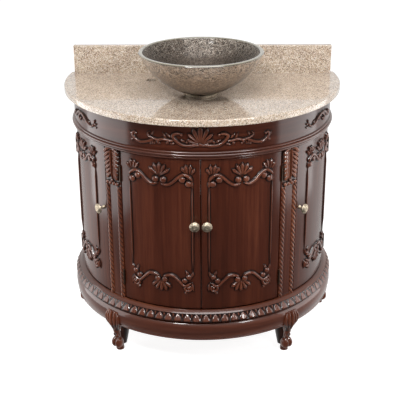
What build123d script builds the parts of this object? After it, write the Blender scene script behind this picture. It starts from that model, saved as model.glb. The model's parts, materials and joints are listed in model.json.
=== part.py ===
"""Half-round bathroom vanity with a stone top and a glass vessel sink.

Each sub-part is its own solid in its own STEP file. The plan is a circle cut off by the wall:
every curved face turns about one upright axis that stands AXIS_TO_WALL in front of the wall.
Angles in plan are measured about that axis from straight ahead, positive to the right.
"""
from build123d import *
from math import acos, cos, degrees, hypot, radians, sin, sqrt, atan2
import os

# Driving sizes, millimetres. Each one can be changed by itself.
TOP_RADIUS = 470.0         # stone top, axis to edge
AXIS_TO_WALL = 89.0        # wall to the axis of all the curved faces
TOP_HEIGHT = 870.0         # floor to the upper face of the stone top
SLAB = 22.0                # thickness of the stone top
EDGE_ROUND = 4.0           # rounding of the top's polished edge
OVERHANG = 34.0            # top edge beyond the door faces
SPLASH_WIDTH = 896.0
SPLASH_HEIGHT = 98.0
SPLASH_THICKNESS = 20.0
FAUCET_HOLE = 35.0         # diameter
FAUCET_X = -172.0          # faucet hole, right of centre
FAUCET_TO_WALL = 113.0
BOWL_TO_WALL = 280.0       # bowl centre, out from the wall
BOWL_RIM = 400.0           # outer diameter at the rim
BOWL_HEIGHT = 143.0        # stone top to rim
BOWL_FOOT = 76.0           # flat circle under the bowl
GLASS = 12.0               # bowl wall
DRAIN_BODY = 38.0          # threaded drain body, outer diameter
DRAIN_CLEARANCE = 7.0      # hole through bowl and top, wider than the drain body
DRAIN_BORE = 30.0
FLANGE = 66.0              # drain flange in the bowl, diameter
FLANGE_THICKNESS = 3.0
TAIL = 31.8                # tailpiece, outer diameter
TAIL_WALL = 1.2
TAIL_LENGTH = 300.0
RING_HEIGHT = 8.0          # seat ring between bowl and top
RING_OUTER = 104.0
NUT_WIDTH = 62.0
NUT_HEIGHT = 14.0
GASKET = 4.0
STOPPER_TRAVEL = 8.0
BOARD = 20.0               # doors, pilasters, stiles and frieze board
PANEL = 16.0               # partitions
BACK = 12.0                # back panel
FLOOR_BOARD = 18.0         # cabinet floor
WEB_FRAME = 20.0           # frame under the stone top
WEB_WIDTH = 60.0
WAIST_HEIGHT = 24.0        # reeded moulding above the doors
WAIST_PROUD = 9.0
FRIEZE_HEIGHT = 112.0      # frieze board, behind the reeded moulding and above it
FRIEZE_PROUD = 4.0         # frieze board beyond the door faces
BASE_HEIGHT = 38.0         # carved base moulding
BASE_PROUD = 32.0          # base moulding beyond the door faces
RAIL_HEIGHT = 63.0         # plain rounded rail under it
RAIL_PROUD = 31.0
RAIL_THICKNESS = 36.0
FOOT_HEIGHT = 109.0        # floor to the underside of the rail
FOOT_WIDTH = 42.0
KNEE_WIDTH = 62.0          # carved knee of a front foot
DOOR_ANGLE = 35.3          # each door, degrees of plan
PILASTER_WIDTH = 68.0      # along the face
DOOR_GAP = 3.0             # all round each door
ROPE = 15.0                # rope column diameter
ROPE_INSET = 9.5           # pilaster edge to rope centre
ROPE_HEIGHT = 399.0
LEAF_WIDTH = 58.0
LEAF_PROUD = 14.0
BERRY = 8.0                # radius of the berries under the leaf
CARVING = 7.0              # depth of the door and frieze carvings
BEAD = 5.0                 # width of the upright beads on the doors
KNOB = 33.0
KNOB_REACH = 30.0
KNOB_INSET = 17.0          # door edge to knob centre
KNOB_HEIGHT = 516.0        # floor to knob centre
HINGE_LENGTH = 50.0
HINGE_MARGIN = 52.0        # door end to the nearer end of a hinge
HINGE_LEAF = 1.3
BARREL = 6.5
PIN = 3.0
PIN_CLEARANCE = 0.05       # radial, moving knuckle on its pin
KNUCKLE_GAP = 0.3
PLUMBING_WIDTH = 300.0     # opening in the back panel
PLUMBING_HEIGHT = 200.0
PLUMBING_SILL = 400.0      # floor to the opening
CATCH_GAP = 0.6            # magnet to strike plate
STRIKE = 1.2

# Levels and radii that follow from them.
FACE = TOP_RADIUS - OVERHANG
INNER = FACE - BOARD
WALL_Y = (TOP_RADIUS + AXIS_TO_WALL) / 2
AXIS_Y = WALL_Y - AXIS_TO_WALL
BOWL_Y = WALL_Y - BOWL_TO_WALL
SLAB_UNDER = TOP_HEIGHT - SLAB
FRIEZE_UNDER = SLAB_UNDER - FRIEZE_HEIGHT
BASE_UNDER = FOOT_HEIGHT + RAIL_HEIGHT
BASE_TOP = BASE_UNDER + BASE_HEIGHT
DOOR_BOTTOM = BASE_TOP + DOOR_GAP
DOOR_TOP = FRIEZE_UNDER - DOOR_GAP
DRAIN_HOLE = DRAIN_BODY + DRAIN_CLEARANCE
BOWL_UNDER = TOP_HEIGHT + RING_HEIGHT
SIDES = {"left": -1, "right": 1}


def face_angle(length):
    """Degrees of plan that cover a length along the door faces."""
    return degrees(length / FACE)


GAP_ANGLE = face_angle(DOOR_GAP)
CENTRE_DOOR = (GAP_ANGLE / 2, GAP_ANGLE / 2 + DOOR_ANGLE)
PILASTER = (CENTRE_DOOR[1] + GAP_ANGLE, CENTRE_DOOR[1] + GAP_ANGLE + face_angle(PILASTER_WIDTH))
SIDE_DOOR = (PILASTER[1] + GAP_ANGLE, PILASTER[1] + GAP_ANGLE + DOOR_ANGLE)
STILE_START = SIDE_DOOR[1] + GAP_ANGLE
PILASTER_CENTRE = (PILASTER[0] + PILASTER[1]) / 2
# name: side, plan angle of the free edge, plan angle of the hinge edge
DOORS = {
    "side_left": (-1, *SIDE_DOOR),
    "centre_left": (-1, *CENTRE_DOOR),
    "centre_right": (1, *CENTRE_DOOR),
    "side_right": (1, *SIDE_DOOR),
}


def write(name, *solids):
    """Writes one node; several solids in it are like pieces that share the node."""
    shape = solids[0] if len(solids) == 1 else Compound(children=list(solids))
    shape.label = name
    export_step(shape, f"parts/{name}.step")


def at_plan(radius, angle, z=0.0):
    """Place on the cabinet's curved faces: X along the face to the right, Y into the cabinet, Z up."""
    x = radius * sin(radians(angle))
    y = AXIS_Y - radius * cos(radians(angle))
    return Location((x, y, z), (0, 0, angle))


def wedge(start, end, reach):
    """Plan sector between two angles, as a face with its tip on the axis."""
    steps = max(2, round(abs(end - start) / 30) + 1)
    angles = [start + (end - start) * i / (steps - 1) for i in range(steps)]
    corners = [(reach * sin(radians(a)), AXIS_Y - reach * cos(radians(a))) for a in angles]
    return make_face(Polyline((0, AXIS_Y), *corners, close=True))


def cylinder(radius, z0, z1, x=0.0, y=0.0):
    return Pos(x, y, z0) * Cylinder(radius, z1 - z0, align=(Align.CENTER, Align.CENTER, Align.MIN))


def shell(r_in, r_out, z0, z1):
    """Full ring about the plan's axis."""
    return cylinder(r_out, z0, z1, 0, AXIS_Y) - cylinder(r_in, z0 - 1, z1 + 1, 0, AXIS_Y)


def curved_board(r_in, r_out, z0, z1, start, end):
    """Curved board between two radii, two levels and two plan angles."""
    low, high = min(start, end), max(start, end)
    prism = Pos(0, 0, z0) * extrude(wedge(low, high, 2 * r_out), z1 - z0)
    return (shell(r_in, r_out, z0, z1) & prism).solid()


def before_wall(shape, setback=0.0):
    """The part of a shape in front of the wall, or of a plane that stands off it."""
    size = 4 * max(TOP_RADIUS, TOP_HEIGHT)
    room = Pos(0, WALL_Y - setback, 0) * Box(size, size, size, align=(Align.CENTER, Align.MAX, Align.CENTER))
    return (shape & room).solid()


def turned_ring(outline):
    """Ring turned about the plan's axis from an outline of (radius, height), cut off by the wall."""
    face = Pos(0, AXIS_Y, 0) * (Plane.XZ * outline)
    return before_wall(revolve(face, Axis((0, AXIS_Y, 0), (0, 0, 1)), 360))


def stone_top():
    slab = cylinder(TOP_RADIUS, SLAB_UNDER, TOP_HEIGHT, 0, AXIS_Y)
    slab = fillet(slab.edges().filter_by(GeomType.CIRCLE), EDGE_ROUND)
    slab -= cylinder(FAUCET_HOLE / 2, SLAB_UNDER - 1, TOP_HEIGHT + 1, FAUCET_X, WALL_Y - FAUCET_TO_WALL)
    slab -= cylinder(DRAIN_HOLE / 2, SLAB_UNDER - 1, TOP_HEIGHT + 1, 0, BOWL_Y)
    return before_wall(slab)


def backsplash():
    slab = Box(SPLASH_WIDTH, SPLASH_THICKNESS, SPLASH_HEIGHT, align=(Align.CENTER, Align.MAX, Align.MIN))
    slab = fillet(slab.edges().group_by(Axis.Z)[-1], EDGE_ROUND / 2)
    return Pos(0, WALL_Y, TOP_HEIGHT) * slab


def bowl_sphere():
    """Height of the centre above the bowl's foot, and radius, of the sphere that the bowl's outside is cut from."""
    rim, foot = BOWL_RIM / 2, BOWL_FOOT / 2
    height = BOWL_HEIGHT - RING_HEIGHT
    centre = (rim**2 + height**2 - foot**2) / (2 * height)
    return centre, hypot(foot, centre)


def vessel_bowl():
    centre, radius = bowl_sphere()
    height = BOWL_HEIGHT - RING_HEIGHT
    outside = Pos(0, 0, centre) * Sphere(radius)
    inside = Pos(0, 0, centre) * Sphere(radius - GLASS)
    slab = Box(4 * radius, 4 * radius, height, align=(Align.CENTER, Align.CENTER, Align.MIN))
    inside &= Pos(0, 0, GLASS) * Box(4 * radius, 4 * radius, 2 * height, align=(Align.CENTER, Align.CENTER, Align.MIN))
    bowl = (outside & slab) - inside - cylinder(DRAIN_HOLE / 2, -1, height)
    return Pos(0, BOWL_Y, BOWL_UNDER) * bowl.solid()


def drain_parts():
    """Seat ring, drain body, gasket, nut, tailpiece and stopper, from the bowl down."""
    half = DRAIN_BODY / 2
    seat = BOWL_UNDER + GLASS
    gasket_under = SLAB_UNDER - GASKET
    nut_under = gasket_under - NUT_HEIGHT
    body_under = nut_under - NUT_HEIGHT
    ring = cylinder(RING_OUTER / 2, TOP_HEIGHT, BOWL_UNDER) - cylinder(DRAIN_HOLE / 2, TOP_HEIGHT - 1, BOWL_UNDER + 1)
    ring = fillet(ring.edges().filter_by(GeomType.CIRCLE).sort_by(SortBy.RADIUS)[-1], 1.5)
    body = cylinder(half, body_under, seat) + cylinder(FLANGE / 2, seat, seat + FLANGE_THICKNESS)
    body -= cylinder(DRAIN_BORE / 2, body_under - 1, seat + FLANGE_THICKNESS + 1)
    gasket = cylinder(NUT_WIDTH / 2, gasket_under, SLAB_UNDER) - cylinder(half, gasket_under - 1, SLAB_UNDER + 1)
    hexagon = Pos(0, 0, nut_under) * extrude(RegularPolygon(NUT_WIDTH / 2, 6), NUT_HEIGHT)
    nut = hexagon - cylinder(half, nut_under - 1, gasket_under + 1)
    tail = cylinder(TAIL / 2, body_under - TAIL_LENGTH, body_under)
    tail -= cylinder(TAIL / 2 - TAIL_WALL, body_under - TAIL_LENGTH - 1, body_under + 1)
    cap_under = seat + FLANGE_THICKNESS
    cap = cylinder(FLANGE / 2 - 8, cap_under, cap_under + 5)
    cap = fillet(cap.edges().group_by(Axis.Z)[-1], 3)
    stem = cylinder(4, cap_under - 40, cap_under)
    parts = {
        "mounting_ring": ring, "drain_body": body, "drain_gasket": gasket, "drain_nut": nut,
        "drain_tailpiece": tail, "popup_stopper": cap + stem,
    }
    return {name: Pos(0, BOWL_Y, 0) * shape.solid() for name, shape in parts.items()}


def cabinet_floor():
    return before_wall(cylinder(FACE, BASE_TOP - FLOOR_BOARD, BASE_TOP, 0, AXIS_Y))


def web_frame():
    """Flat frame behind the frieze that carries the stone top."""
    outer = cylinder(INNER + FRIEZE_PROUD, SLAB_UNDER - WEB_FRAME, SLAB_UNDER, 0, AXIS_Y)
    hole = cylinder(INNER + FRIEZE_PROUD - WEB_WIDTH, SLAB_UNDER - WEB_FRAME - 1, SLAB_UNDER + 1, 0, AXIS_Y)
    return before_wall(outer - before_wall(hole, BACK + WEB_WIDTH), BACK)


def back_panel():
    height = SLAB_UNDER - BASE_TOP
    board = cylinder(INNER, BASE_TOP, BASE_TOP + height, 0, AXIS_Y)
    slot = Box(PLUMBING_WIDTH, 4 * BACK, PLUMBING_HEIGHT, align=(Align.CENTER, Align.CENTER, Align.MIN))
    slice_ = Pos(0, WALL_Y, 0) * Box(4 * FACE, BACK, 4 * TOP_HEIGHT, align=(Align.CENTER, Align.MAX, Align.CENTER))
    return ((board & slice_) - Pos(0, WALL_Y, PLUMBING_SILL) * slot).solid()


def partition(side):
    """Upright panel from a pilaster straight back to the back panel."""
    x = INNER * sin(radians(PILASTER_CENTRE))
    board = Box(PANEL, TOP_RADIUS, SLAB_UNDER - WEB_FRAME - BASE_TOP, align=(Align.CENTER, Align.MAX, Align.MIN))
    board = Pos(side * x, WALL_Y - BACK, BASE_TOP) * board
    return (board & cylinder(INNER, 0, TOP_HEIGHT, 0, AXIS_Y)).solid()


def rear_stile(side):
    board = curved_board(INNER, FACE, BASE_TOP, FRIEZE_UNDER, side * STILE_START, side * 150)
    return before_wall(board)


def rope_angles():
    return (PILASTER[0] + face_angle(ROPE_INSET), PILASTER[1] - face_angle(ROPE_INSET))


def pilaster(side):
    board = curved_board(INNER, FACE, BASE_TOP, FRIEZE_UNDER, side * PILASTER[0], side * PILASTER[1])
    for angle in rope_angles():
        board -= at_plan(FACE, side * angle) * cylinder(ROPE / 2, BASE_TOP - 1, BASE_TOP + ROPE_HEIGHT)
    return board.solid()


def rope_column(side, angle):
    return at_plan(FACE, side * angle) * cylinder(ROPE / 2, BASE_TOP, BASE_TOP + ROPE_HEIGHT)


def on_face(outline, angle, radius, depth):
    """Carving: an outline drawn flat, X along the face and Y up, pressed onto the face of that radius."""
    reach = 2 * FACE
    block = at_plan(radius + depth + 1, angle) * (Plane.XZ * extrude(outline, -reach / 2))
    z0 = block.bounding_box().min.Z - 1
    z1 = block.bounding_box().max.Z + 1
    return block & shell(radius, radius + depth, z0, z1)


def stroke(points, width):
    """Rounded band through the points, as overlapping slots."""
    band = Sketch()
    for (x0, z0), (x1, z1) in zip(points, points[1:]):
        length = hypot(x1 - x0, z1 - z0)
        turn = degrees(atan2(z1 - z0, x1 - x0))
        band += Pos((x0 + x1) / 2, (z0 + z1) / 2) * Rot(0, 0, turn) * SlotCenterToCenter(length, width)
    return band


def acanthus_leaf(side):
    """Hanging leaf at the head of a pilaster: a tapering blade with five lobes each side and four berries."""
    top = FRIEZE_UNDER
    bottom = BASE_TOP + ROPE_HEIGHT + BERRY + 0.3
    height = top - bottom
    outline = Pos(0, top - height / 2) * Rectangle(LEAF_WIDTH * 0.5, height)
    lobe = height / 6
    for i in range(5):
        z = top - lobe * (i + 0.7)
        for turn in (-1, 1):
            outline += Pos(turn * LEAF_WIDTH * 0.25, z) * Rot(0, 0, turn * 35) * Ellipse(LEAF_WIDTH * 0.25, lobe * 0.62)
    for i in range(4):
        outline += Pos(LEAF_WIDTH * (i - 1.5) / 4, bottom) * Circle(BERRY)
    return on_face(outline & (Pos(0, top - height) * Rectangle(LEAF_WIDTH, 2 * height)), side * PILASTER_CENTRE,
                   FACE, LEAF_PROUD)


def shell_fan(x, z, radius, up):
    """Scallop: five petals about a base point, opening upwards or downwards."""
    fan = Pos(x, z) * Circle(radius * 0.45)
    for i in range(5):
        spread = radians(-64 + 32 * i)
        centre = (x + radius * 0.6 * sin(spread), z + up * radius * 0.6 * cos(spread))
        fan += Pos(*centre) * Rot(0, 0, -up * degrees(spread)) * Ellipse(radius * 0.2, radius * 0.42)
    return fan


def swag(half, z, sign):
    """Carved garland across a door: shell in the middle, strands out to a rosette in each corner."""
    outline = shell_fan(0, z + sign * 4, 30, sign)
    for turn in (-1, 1):
        outline += stroke([(0, z - 8), (turn * half * 0.16, z - sign * 12), (turn * half * 0.5, z - sign * 2 - 6),
                           (turn * half * 0.8, z + sign * 8)], 9)
        corner = (turn * (half - 8), z)
        outline += Pos(*corner) * Circle(13)
        outline += Pos(corner[0], corner[1] + 19) * Ellipse(11, 12)
        outline += Pos(corner[0], corner[1] - 19) * Ellipse(10, 12)
        outline += Pos(corner[0] - turn * 14, corner[1] + sign * 12) * Circle(9)
    return outline


SWAG_TOP = 44.0            # door end to the middle of each garland
SWAG_BOTTOM = 88.0
CENTRE_CARVING = (27.0, 38.0)  # free edge and hinge edge to the beads, centre doors
SIDE_CARVING = (58.0, 42.0)    # the same on the side doors


def door_carving(side, free, hinged, insets):
    """Beads and garlands applied to one door, as one frame."""
    start = free + face_angle(insets[0])
    end = hinged - face_angle(insets[1])
    half = FACE * sin(radians((end - start) / 2))
    top, bottom = DOOR_TOP - SWAG_TOP, DOOR_BOTTOM + SWAG_BOTTOM
    outline = swag(half, top, 1) + swag(half, bottom, -1)
    for turn in (-1, 1):
        outline += Pos(turn * half, (top + bottom) / 2) * Rectangle(BEAD, top - bottom)
    return on_face(outline, side * (start + end) / 2, FACE, CARVING)


def frieze_carving(centre_angle, half, middle):
    """Scrolls and leaves on the frieze, either side of a shell."""
    z = (SLAB_UNDER + FRIEZE_UNDER + WAIST_HEIGHT) / 2 - 4
    outline = shell_fan(0, z - 8, 30 if middle else 18, 1)
    for turn in (-1, 1):
        path = [(0, z - 12), (0.16, z - 18), (0.3, z + 14), (0.42, z + 6), (0.55, z + 10), (0.66, z - 14),
                (0.8, z - 18), (0.9, z + 4), (0.97, z - 10)]
        outline += stroke([(turn * half * share, level) for share, level in path], 8)
        for share, level in ((0.25, -6), (0.45, 0), (0.72, -8), (0.97, -12)):
            outline += Pos(turn * half * share, z + level) * Ellipse(10, 8)
    return on_face(outline, centre_angle, FACE + FRIEZE_PROUD, CARVING)


def frieze_board():
    radius = FACE + FRIEZE_PROUD
    return before_wall(shell(radius - BOARD, radius, FRIEZE_UNDER, SLAB_UNDER))


def waist_moulding():
    """Three rounded reeds in one ring round the foot of the frieze."""
    inner = FACE + FRIEZE_PROUD
    reed = WAIST_HEIGHT / 3
    outline = Pos(inner + WAIST_PROUD / 4, FRIEZE_UNDER + WAIST_HEIGHT / 2) * Rectangle(WAIST_PROUD / 2, WAIST_HEIGHT)
    for i, proud in enumerate((-0.6, 0, -0.6)):
        centre = (inner + WAIST_PROUD - reed / 2 + proud, FRIEZE_UNDER + reed * (i + 0.5))
        outline += Pos(*centre) * Circle(reed / 2)
    outline &= Pos(inner + WAIST_PROUD, FRIEZE_UNDER + WAIST_HEIGHT / 2) * Rectangle(2 * WAIST_PROUD, WAIST_HEIGHT)
    return turned_ring(outline)


def base_moulding():
    """Plain slope above a rounded band, round the cabinet floor."""
    r0, r1 = FACE, FACE + BASE_PROUD
    z0, z1 = BASE_UNDER, BASE_TOP
    shoulder = (FACE + BASE_PROUD * 0.62, z1 - BASE_HEIGHT * 0.28)
    band = ThreePointArc(shoulder, (r1, (z0 + z1) / 2 - BASE_HEIGHT * 0.06), (r1 - 5, z0))
    edge = Polyline((r1 - 5, z0), (r0, z0), (r0, z1), (r0 + BASE_PROUD * 0.25, z1), shoulder)
    return turned_ring(make_face(Curve() + [band, edge]))


def rail_outline():
    """Section of the base rail: square at the back, rounded at the front, with a thin lip below."""
    r1 = FACE + RAIL_PROUD
    z0, z1 = FOOT_HEIGHT, BASE_UNDER
    lip = 6.0
    nose = ThreePointArc((r1 - 6, z1), (r1, z1 - RAIL_HEIGHT * 0.42), (r1 - 5, z0 + lip))
    edge = Polyline((r1 - 5, z0 + lip), (r1 - 3, z0 + lip), (r1 - 3, z0), (r1 - RAIL_THICKNESS, z0),
                    (r1 - RAIL_THICKNESS, z1), (r1 - 6, z1))
    return make_face(Curve() + [nose, edge])


def base_rail():
    return turned_ring(rail_outline())


# name: plan angle, and whether a carved knee laps over the rail
FEET = {
    "front_left": (-PILASTER_CENTRE, True),
    "front_right": (PILASTER_CENTRE, True),
    "rear_left": (-PILASTER_CENTRE - 50, False),
    "rear_right": (PILASTER_CENTRE + 50, False),
}


def foot(angle, knee, rail):
    """Short cabriole foot: slim ankle and rolled toe on a small pad, drawn from the side."""
    out = FACE + RAIL_PROUD
    mid = out - 26
    h = FOOT_HEIGHT
    over = 52 if knee else 0
    head = [(out + 10, h + over), (out + 13, h + over / 2), (out + 2, h - 8)] if knee else [(out - 4, h), (out - 8, h - 14)]
    front = Spline(*head, (mid + 4, h * 0.55), (mid + 8, h * 0.42))
    back = Spline((mid - 24, h * 0.3), (mid - 24, h * 0.55), (mid - 44, h - 18), (mid - 52, h))
    top = [(mid - 52, h), (mid - 10, h), (mid - 10, h + over)] if knee else [(mid - 52, h)]
    side_view = make_face(Curve() + [
        front,
        Polyline((mid + 8, h * 0.42), (mid + 8, h * 0.1), (mid - 12, h * 0.1), (mid - 24, h * 0.3)),
        back,
        Polyline(*top, head[0]),
    ])
    width = KNEE_WIDTH if knee else FOOT_WIDTH
    body = extrude(Plane.YZ * side_view, width / 2, both=True)
    front_view = Pos(0, h + 26) * Rectangle(width, 70) + Pos(0, h * 0.5) * Rectangle(FOOT_WIDTH * 0.62, h)
    front_view += Pos(0, h * 0.86) * Ellipse(width / 2, h * 0.2)
    body &= extrude(Plane.XZ * front_view, 4 * TOP_RADIUS, both=True)
    toe = Pos(0, mid + 4, h * 0.3) * Rot(0, 90, 0) * Cylinder(17, FOOT_WIDTH * 0.72)
    pad = Pos(0, mid - 4, 0) * Cylinder(15, h * 0.16, align=(Align.CENTER, Align.CENTER, Align.MIN))
    placed = Pos(0, AXIS_Y, 0) * Rot(0, 0, angle + 180) * (body + toe + pad)
    return (placed - rail).solid()


def foot_blocks():
    """Glue blocks above the feet, between the rail and the cabinet floor."""
    outer = FACE + RAIL_PROUD - RAIL_THICKNESS
    for angle, knee in FEET.values():
        spread = face_angle(FOOT_WIDTH)
        yield curved_board(outer - 48, outer, FOOT_HEIGHT, BASE_TOP - FLOOR_BOARD, angle - spread, angle + spread)


def door_panel(side, free, hinged):
    return curved_board(INNER, FACE, DOOR_BOTTOM, DOOR_TOP, side * free, side * hinged)


def knob(side, free):
    """Turned knob on a rosette, standing square on the door's face."""
    outline = Polyline((0, 0), (7, 0), (7, 2), (5.5, 4), (5, KNOB_REACH * 0.5)) + Spline(
        (5, KNOB_REACH * 0.5), (KNOB / 2, KNOB_REACH * 0.72), (KNOB / 3, KNOB_REACH * 0.95), (0, KNOB_REACH))
    outline += Line((0, KNOB_REACH), (0, 0))
    turned = revolve(Plane.XZ * make_face(outline), Axis.Z, 360)
    seat = at_plan(FACE - 0.5, side * (free + face_angle(KNOB_INSET)), KNOB_HEIGHT)
    placed = seat * Rot(90, 0, 0) * turned
    return (placed - cylinder(FACE, 0, TOP_HEIGHT, 0, AXIS_Y)).solid()


def hinge_levels():
    return (DOOR_BOTTOM + HINGE_MARGIN, DOOR_TOP - HINGE_MARGIN - HINGE_LENGTH)


def hinge_axis(hinged):
    """Radius and plan angle of a door's hinge pins: in the middle of the gap, just proud of the faces."""
    return FACE + BARREL / 2 + 0.3, hinged + GAP_ANGLE / 2


def hinge_leaf(side, hinged, z, moving):
    """One leaf of a butt hinge: a plate on the edge of the door or of its post, and its knuckles."""
    radius, pin_angle = hinge_axis(hinged)
    edge_angle = hinged if moving else hinged + GAP_ANGLE
    towards_gap = side if moving else -side
    depth = radius - INNER - 1.5
    plate = Box(HINGE_LEAF, depth, HINGE_LENGTH, align=(Align.MIN, Align.MIN, Align.MIN))
    if towards_gap < 0:
        plate = mirror(plate, Plane.YZ)
    leaf = at_plan(radius, side * edge_angle, z) * plate
    third = HINGE_LENGTH / 3
    spans = [(third + KNUCKLE_GAP, 2 * third - KNUCKLE_GAP)] if moving else [(0, third), (2 * third, HINGE_LENGTH)]
    others = [(0, third + KNUCKLE_GAP), (2 * third - KNUCKLE_GAP, HINGE_LENGTH)] if moving else [(third, 2 * third)]
    x, y = at_plan(radius, side * pin_angle).position.X, at_plan(radius, side * pin_angle).position.Y
    for z0, z1 in others:
        leaf -= cylinder(BARREL / 2 + KNUCKLE_GAP, z + z0 - 0.01, z + z1 + 0.01, x, y)
    for z0, z1 in spans:
        leaf += cylinder(BARREL / 2, z + z0, z + z1, x, y)
    bore = PIN / 2 + (PIN_CLEARANCE if moving else 0)
    return (leaf - cylinder(bore, z - 1, z + HINGE_LENGTH + 1, x, y)).solid()


def hinge_pin(side, hinged, z):
    radius, angle = hinge_axis(hinged)
    seat = at_plan(radius, side * angle, z)
    return seat * (cylinder(PIN / 2, 0, HINGE_LENGTH) + cylinder(BARREL / 2 - 0.5, HINGE_LENGTH, HINGE_LENGTH + 2)
                   + cylinder(BARREL / 2 - 0.5, -2, 0)).solid()


def catch(side, free):
    """Magnet block on the cabinet floor behind the free edge of a door."""
    face = INNER - STRIKE - CATCH_GAP
    start = free + face_angle(8)
    return curved_board(face - 14, face, BASE_TOP, BASE_TOP + 16, side * start, side * (start + face_angle(34)))


def strike(side, free):
    start = free + face_angle(8)
    return curved_board(INNER - STRIKE, INNER, DOOR_BOTTOM, DOOR_BOTTOM + 14, side * start,
                        side * (start + face_angle(34)))


os.makedirs("parts", exist_ok=True)
write("countertop", stone_top())
write("backsplash", backsplash())
write("vessel_bowl", vessel_bowl())
for name, solid in drain_parts().items():
    write(name, solid)
write("cabinet_floor", cabinet_floor())
write("web_frame", web_frame())
write("back_panel", back_panel())
write("frieze_board", frieze_board())
write("waist_moulding", waist_moulding())
write("base_moulding", base_moulding())
rail = base_rail()
write("base_rail", rail)
write("foot_blocks", *foot_blocks())
for name, (angle, knee) in FEET.items():
    write(f"foot_{name}", foot(angle, knee, rail))
write("frieze_carving_centre", frieze_carving(0, FACE * sin(radians(29.5)), True))
for name, side in SIDES.items():
    write(f"partition_{name}", partition(side))
    write(f"rear_stile_{name}", rear_stile(side))
    write(f"pilaster_{name}", pilaster(side))
    write(f"acanthus_{name}", acanthus_leaf(side))
    write(f"frieze_carving_{name}", frieze_carving(side * 60, FACE * sin(radians(15)), False))
    for place, angle in zip(("inner", "outer"), rope_angles()):
        write(f"rope_{name}_{place}", rope_column(side, angle))
for name, (side, free, hinged) in DOORS.items():
    insets = CENTRE_CARVING if name.startswith("centre") else SIDE_CARVING
    write(f"door_{name}", door_panel(side, free, hinged))
    write(f"door_carving_{name}", door_carving(side, free, hinged, insets))
    write(f"knob_{name}", knob(side, free))
    write(f"strike_{name}", strike(side, free))
    write(f"hinge_leaves_{name}", *(hinge_leaf(side, hinged, z, True) for z in hinge_levels()))
hung = [(side, hinged, z) for side, free, hinged in DOORS.values() for z in hinge_levels()]
write("hinge_plates", *(hinge_leaf(side, hinged, z, False) for side, hinged, z in hung))
write("hinge_pins", *(hinge_pin(side, hinged, z) for side, hinged, z in hung))
write("door_catches", *(catch(side, free) for side, free, hinged in DOORS.values()))
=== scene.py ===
import json
import math

import bmesh
import bpy
import numpy as np
from mathutils import Matrix, Vector


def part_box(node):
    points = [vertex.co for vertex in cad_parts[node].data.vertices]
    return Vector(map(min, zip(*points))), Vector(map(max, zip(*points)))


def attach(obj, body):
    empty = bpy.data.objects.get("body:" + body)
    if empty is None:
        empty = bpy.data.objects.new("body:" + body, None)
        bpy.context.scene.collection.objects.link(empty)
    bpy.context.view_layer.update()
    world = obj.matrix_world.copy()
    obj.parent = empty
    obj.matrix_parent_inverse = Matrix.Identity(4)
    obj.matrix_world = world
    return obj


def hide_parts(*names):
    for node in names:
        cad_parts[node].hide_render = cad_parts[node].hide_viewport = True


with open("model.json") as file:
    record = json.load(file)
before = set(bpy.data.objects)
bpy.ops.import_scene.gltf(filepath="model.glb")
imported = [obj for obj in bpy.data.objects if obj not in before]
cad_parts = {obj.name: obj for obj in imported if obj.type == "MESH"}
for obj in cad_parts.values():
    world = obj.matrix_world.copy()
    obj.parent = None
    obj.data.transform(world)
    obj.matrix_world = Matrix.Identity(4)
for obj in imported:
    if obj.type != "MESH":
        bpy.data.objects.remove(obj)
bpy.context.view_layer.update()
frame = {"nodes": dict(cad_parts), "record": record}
scene = bpy.context.scene

# Where the vanity is looked at from: a standing person's eye, a little to
# the right of the middle, with soft studio light from above and both sides
# and a plain white floor.
eye, aim = Vector((0.042, -2.899, 1.716)), Vector((-0.003, -0.2, 0.5805))
ahead = (aim - eye).normalized()
across = ahead.cross(Vector((0, 0, 1))).normalized()
upward = across.cross(ahead)
lean = -0.0059
across, upward = (across * math.cos(lean) + upward * math.sin(lean),
                  upward * math.cos(lean) - across * math.sin(lean))
camera = bpy.data.objects.new("camera", bpy.data.cameras.new("camera"))
camera.data.lens, camera.data.sensor_width = 83.2, 36
camera.matrix_world = Matrix.Translation(eye) @ Matrix((across, upward, -ahead)).transposed().to_4x4()
scene.collection.objects.link(camera)
scene.camera = camera
scene.view_settings.view_transform = "Standard"


class Wire:
    """One output of a node. A sum on it adds Math nodes."""

    def __init__(self, nodes, socket):
        self.nodes, self.socket = nodes, socket

    def maths(self, operation, first, second):
        return self.nodes.node("ShaderNodeMath", {"operation": operation}, {0: first, 1: second})

    def __add__(self, other):
        return self.maths("ADD", self, other)

    def __sub__(self, other):
        return self.maths("SUBTRACT", self, other)

    def __rsub__(self, other):
        return self.maths("SUBTRACT", other, self)

    def __mul__(self, other):
        return self.maths("MULTIPLY", self, other)

    def __truediv__(self, other):
        return self.maths("DIVIDE", self, other)

    __radd__, __rmul__ = __add__, __mul__


class Nodes:
    """A node tree, to which node() adds one node and gives back one of its outputs."""

    def __init__(self, tree):
        self.tree = tree
        tree.nodes.clear()

    def node(self, kind, settings=None, sockets=None, output=0):
        made = self.tree.nodes.new(kind)
        for name, value in (settings or {}).items():
            if name == "stops":
                ramp = made.color_ramp.elements
                while len(ramp) < len(value):
                    ramp.new(0.5)
                for stop, (position, colour) in zip(ramp, value):
                    stop.position, stop.color = position, (*colour, 1)
            else:
                setattr(made, name, value)
        for name, value in (sockets or {}).items():
            if isinstance(value, Wire):
                self.tree.links.new(value.socket, made.inputs[name])
            else:
                made.inputs[name].default_value = value
        return Wire(self, made.outputs[output]) if made.outputs else None


def new_material(name):
    """A material, and its empty node tree."""
    material = bpy.data.materials.new(name)
    material.use_nodes = True
    return material, Nodes(material.node_tree)


def mixed(nodes, share, first, second, blend="MIX"):
    """Two colours mixed by a share from 0 to 1."""
    return nodes.node("ShaderNodeMix", {"data_type": "RGBA", "blend_type": blend}, {0: share, 6: first, 7: second}, 2)


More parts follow.
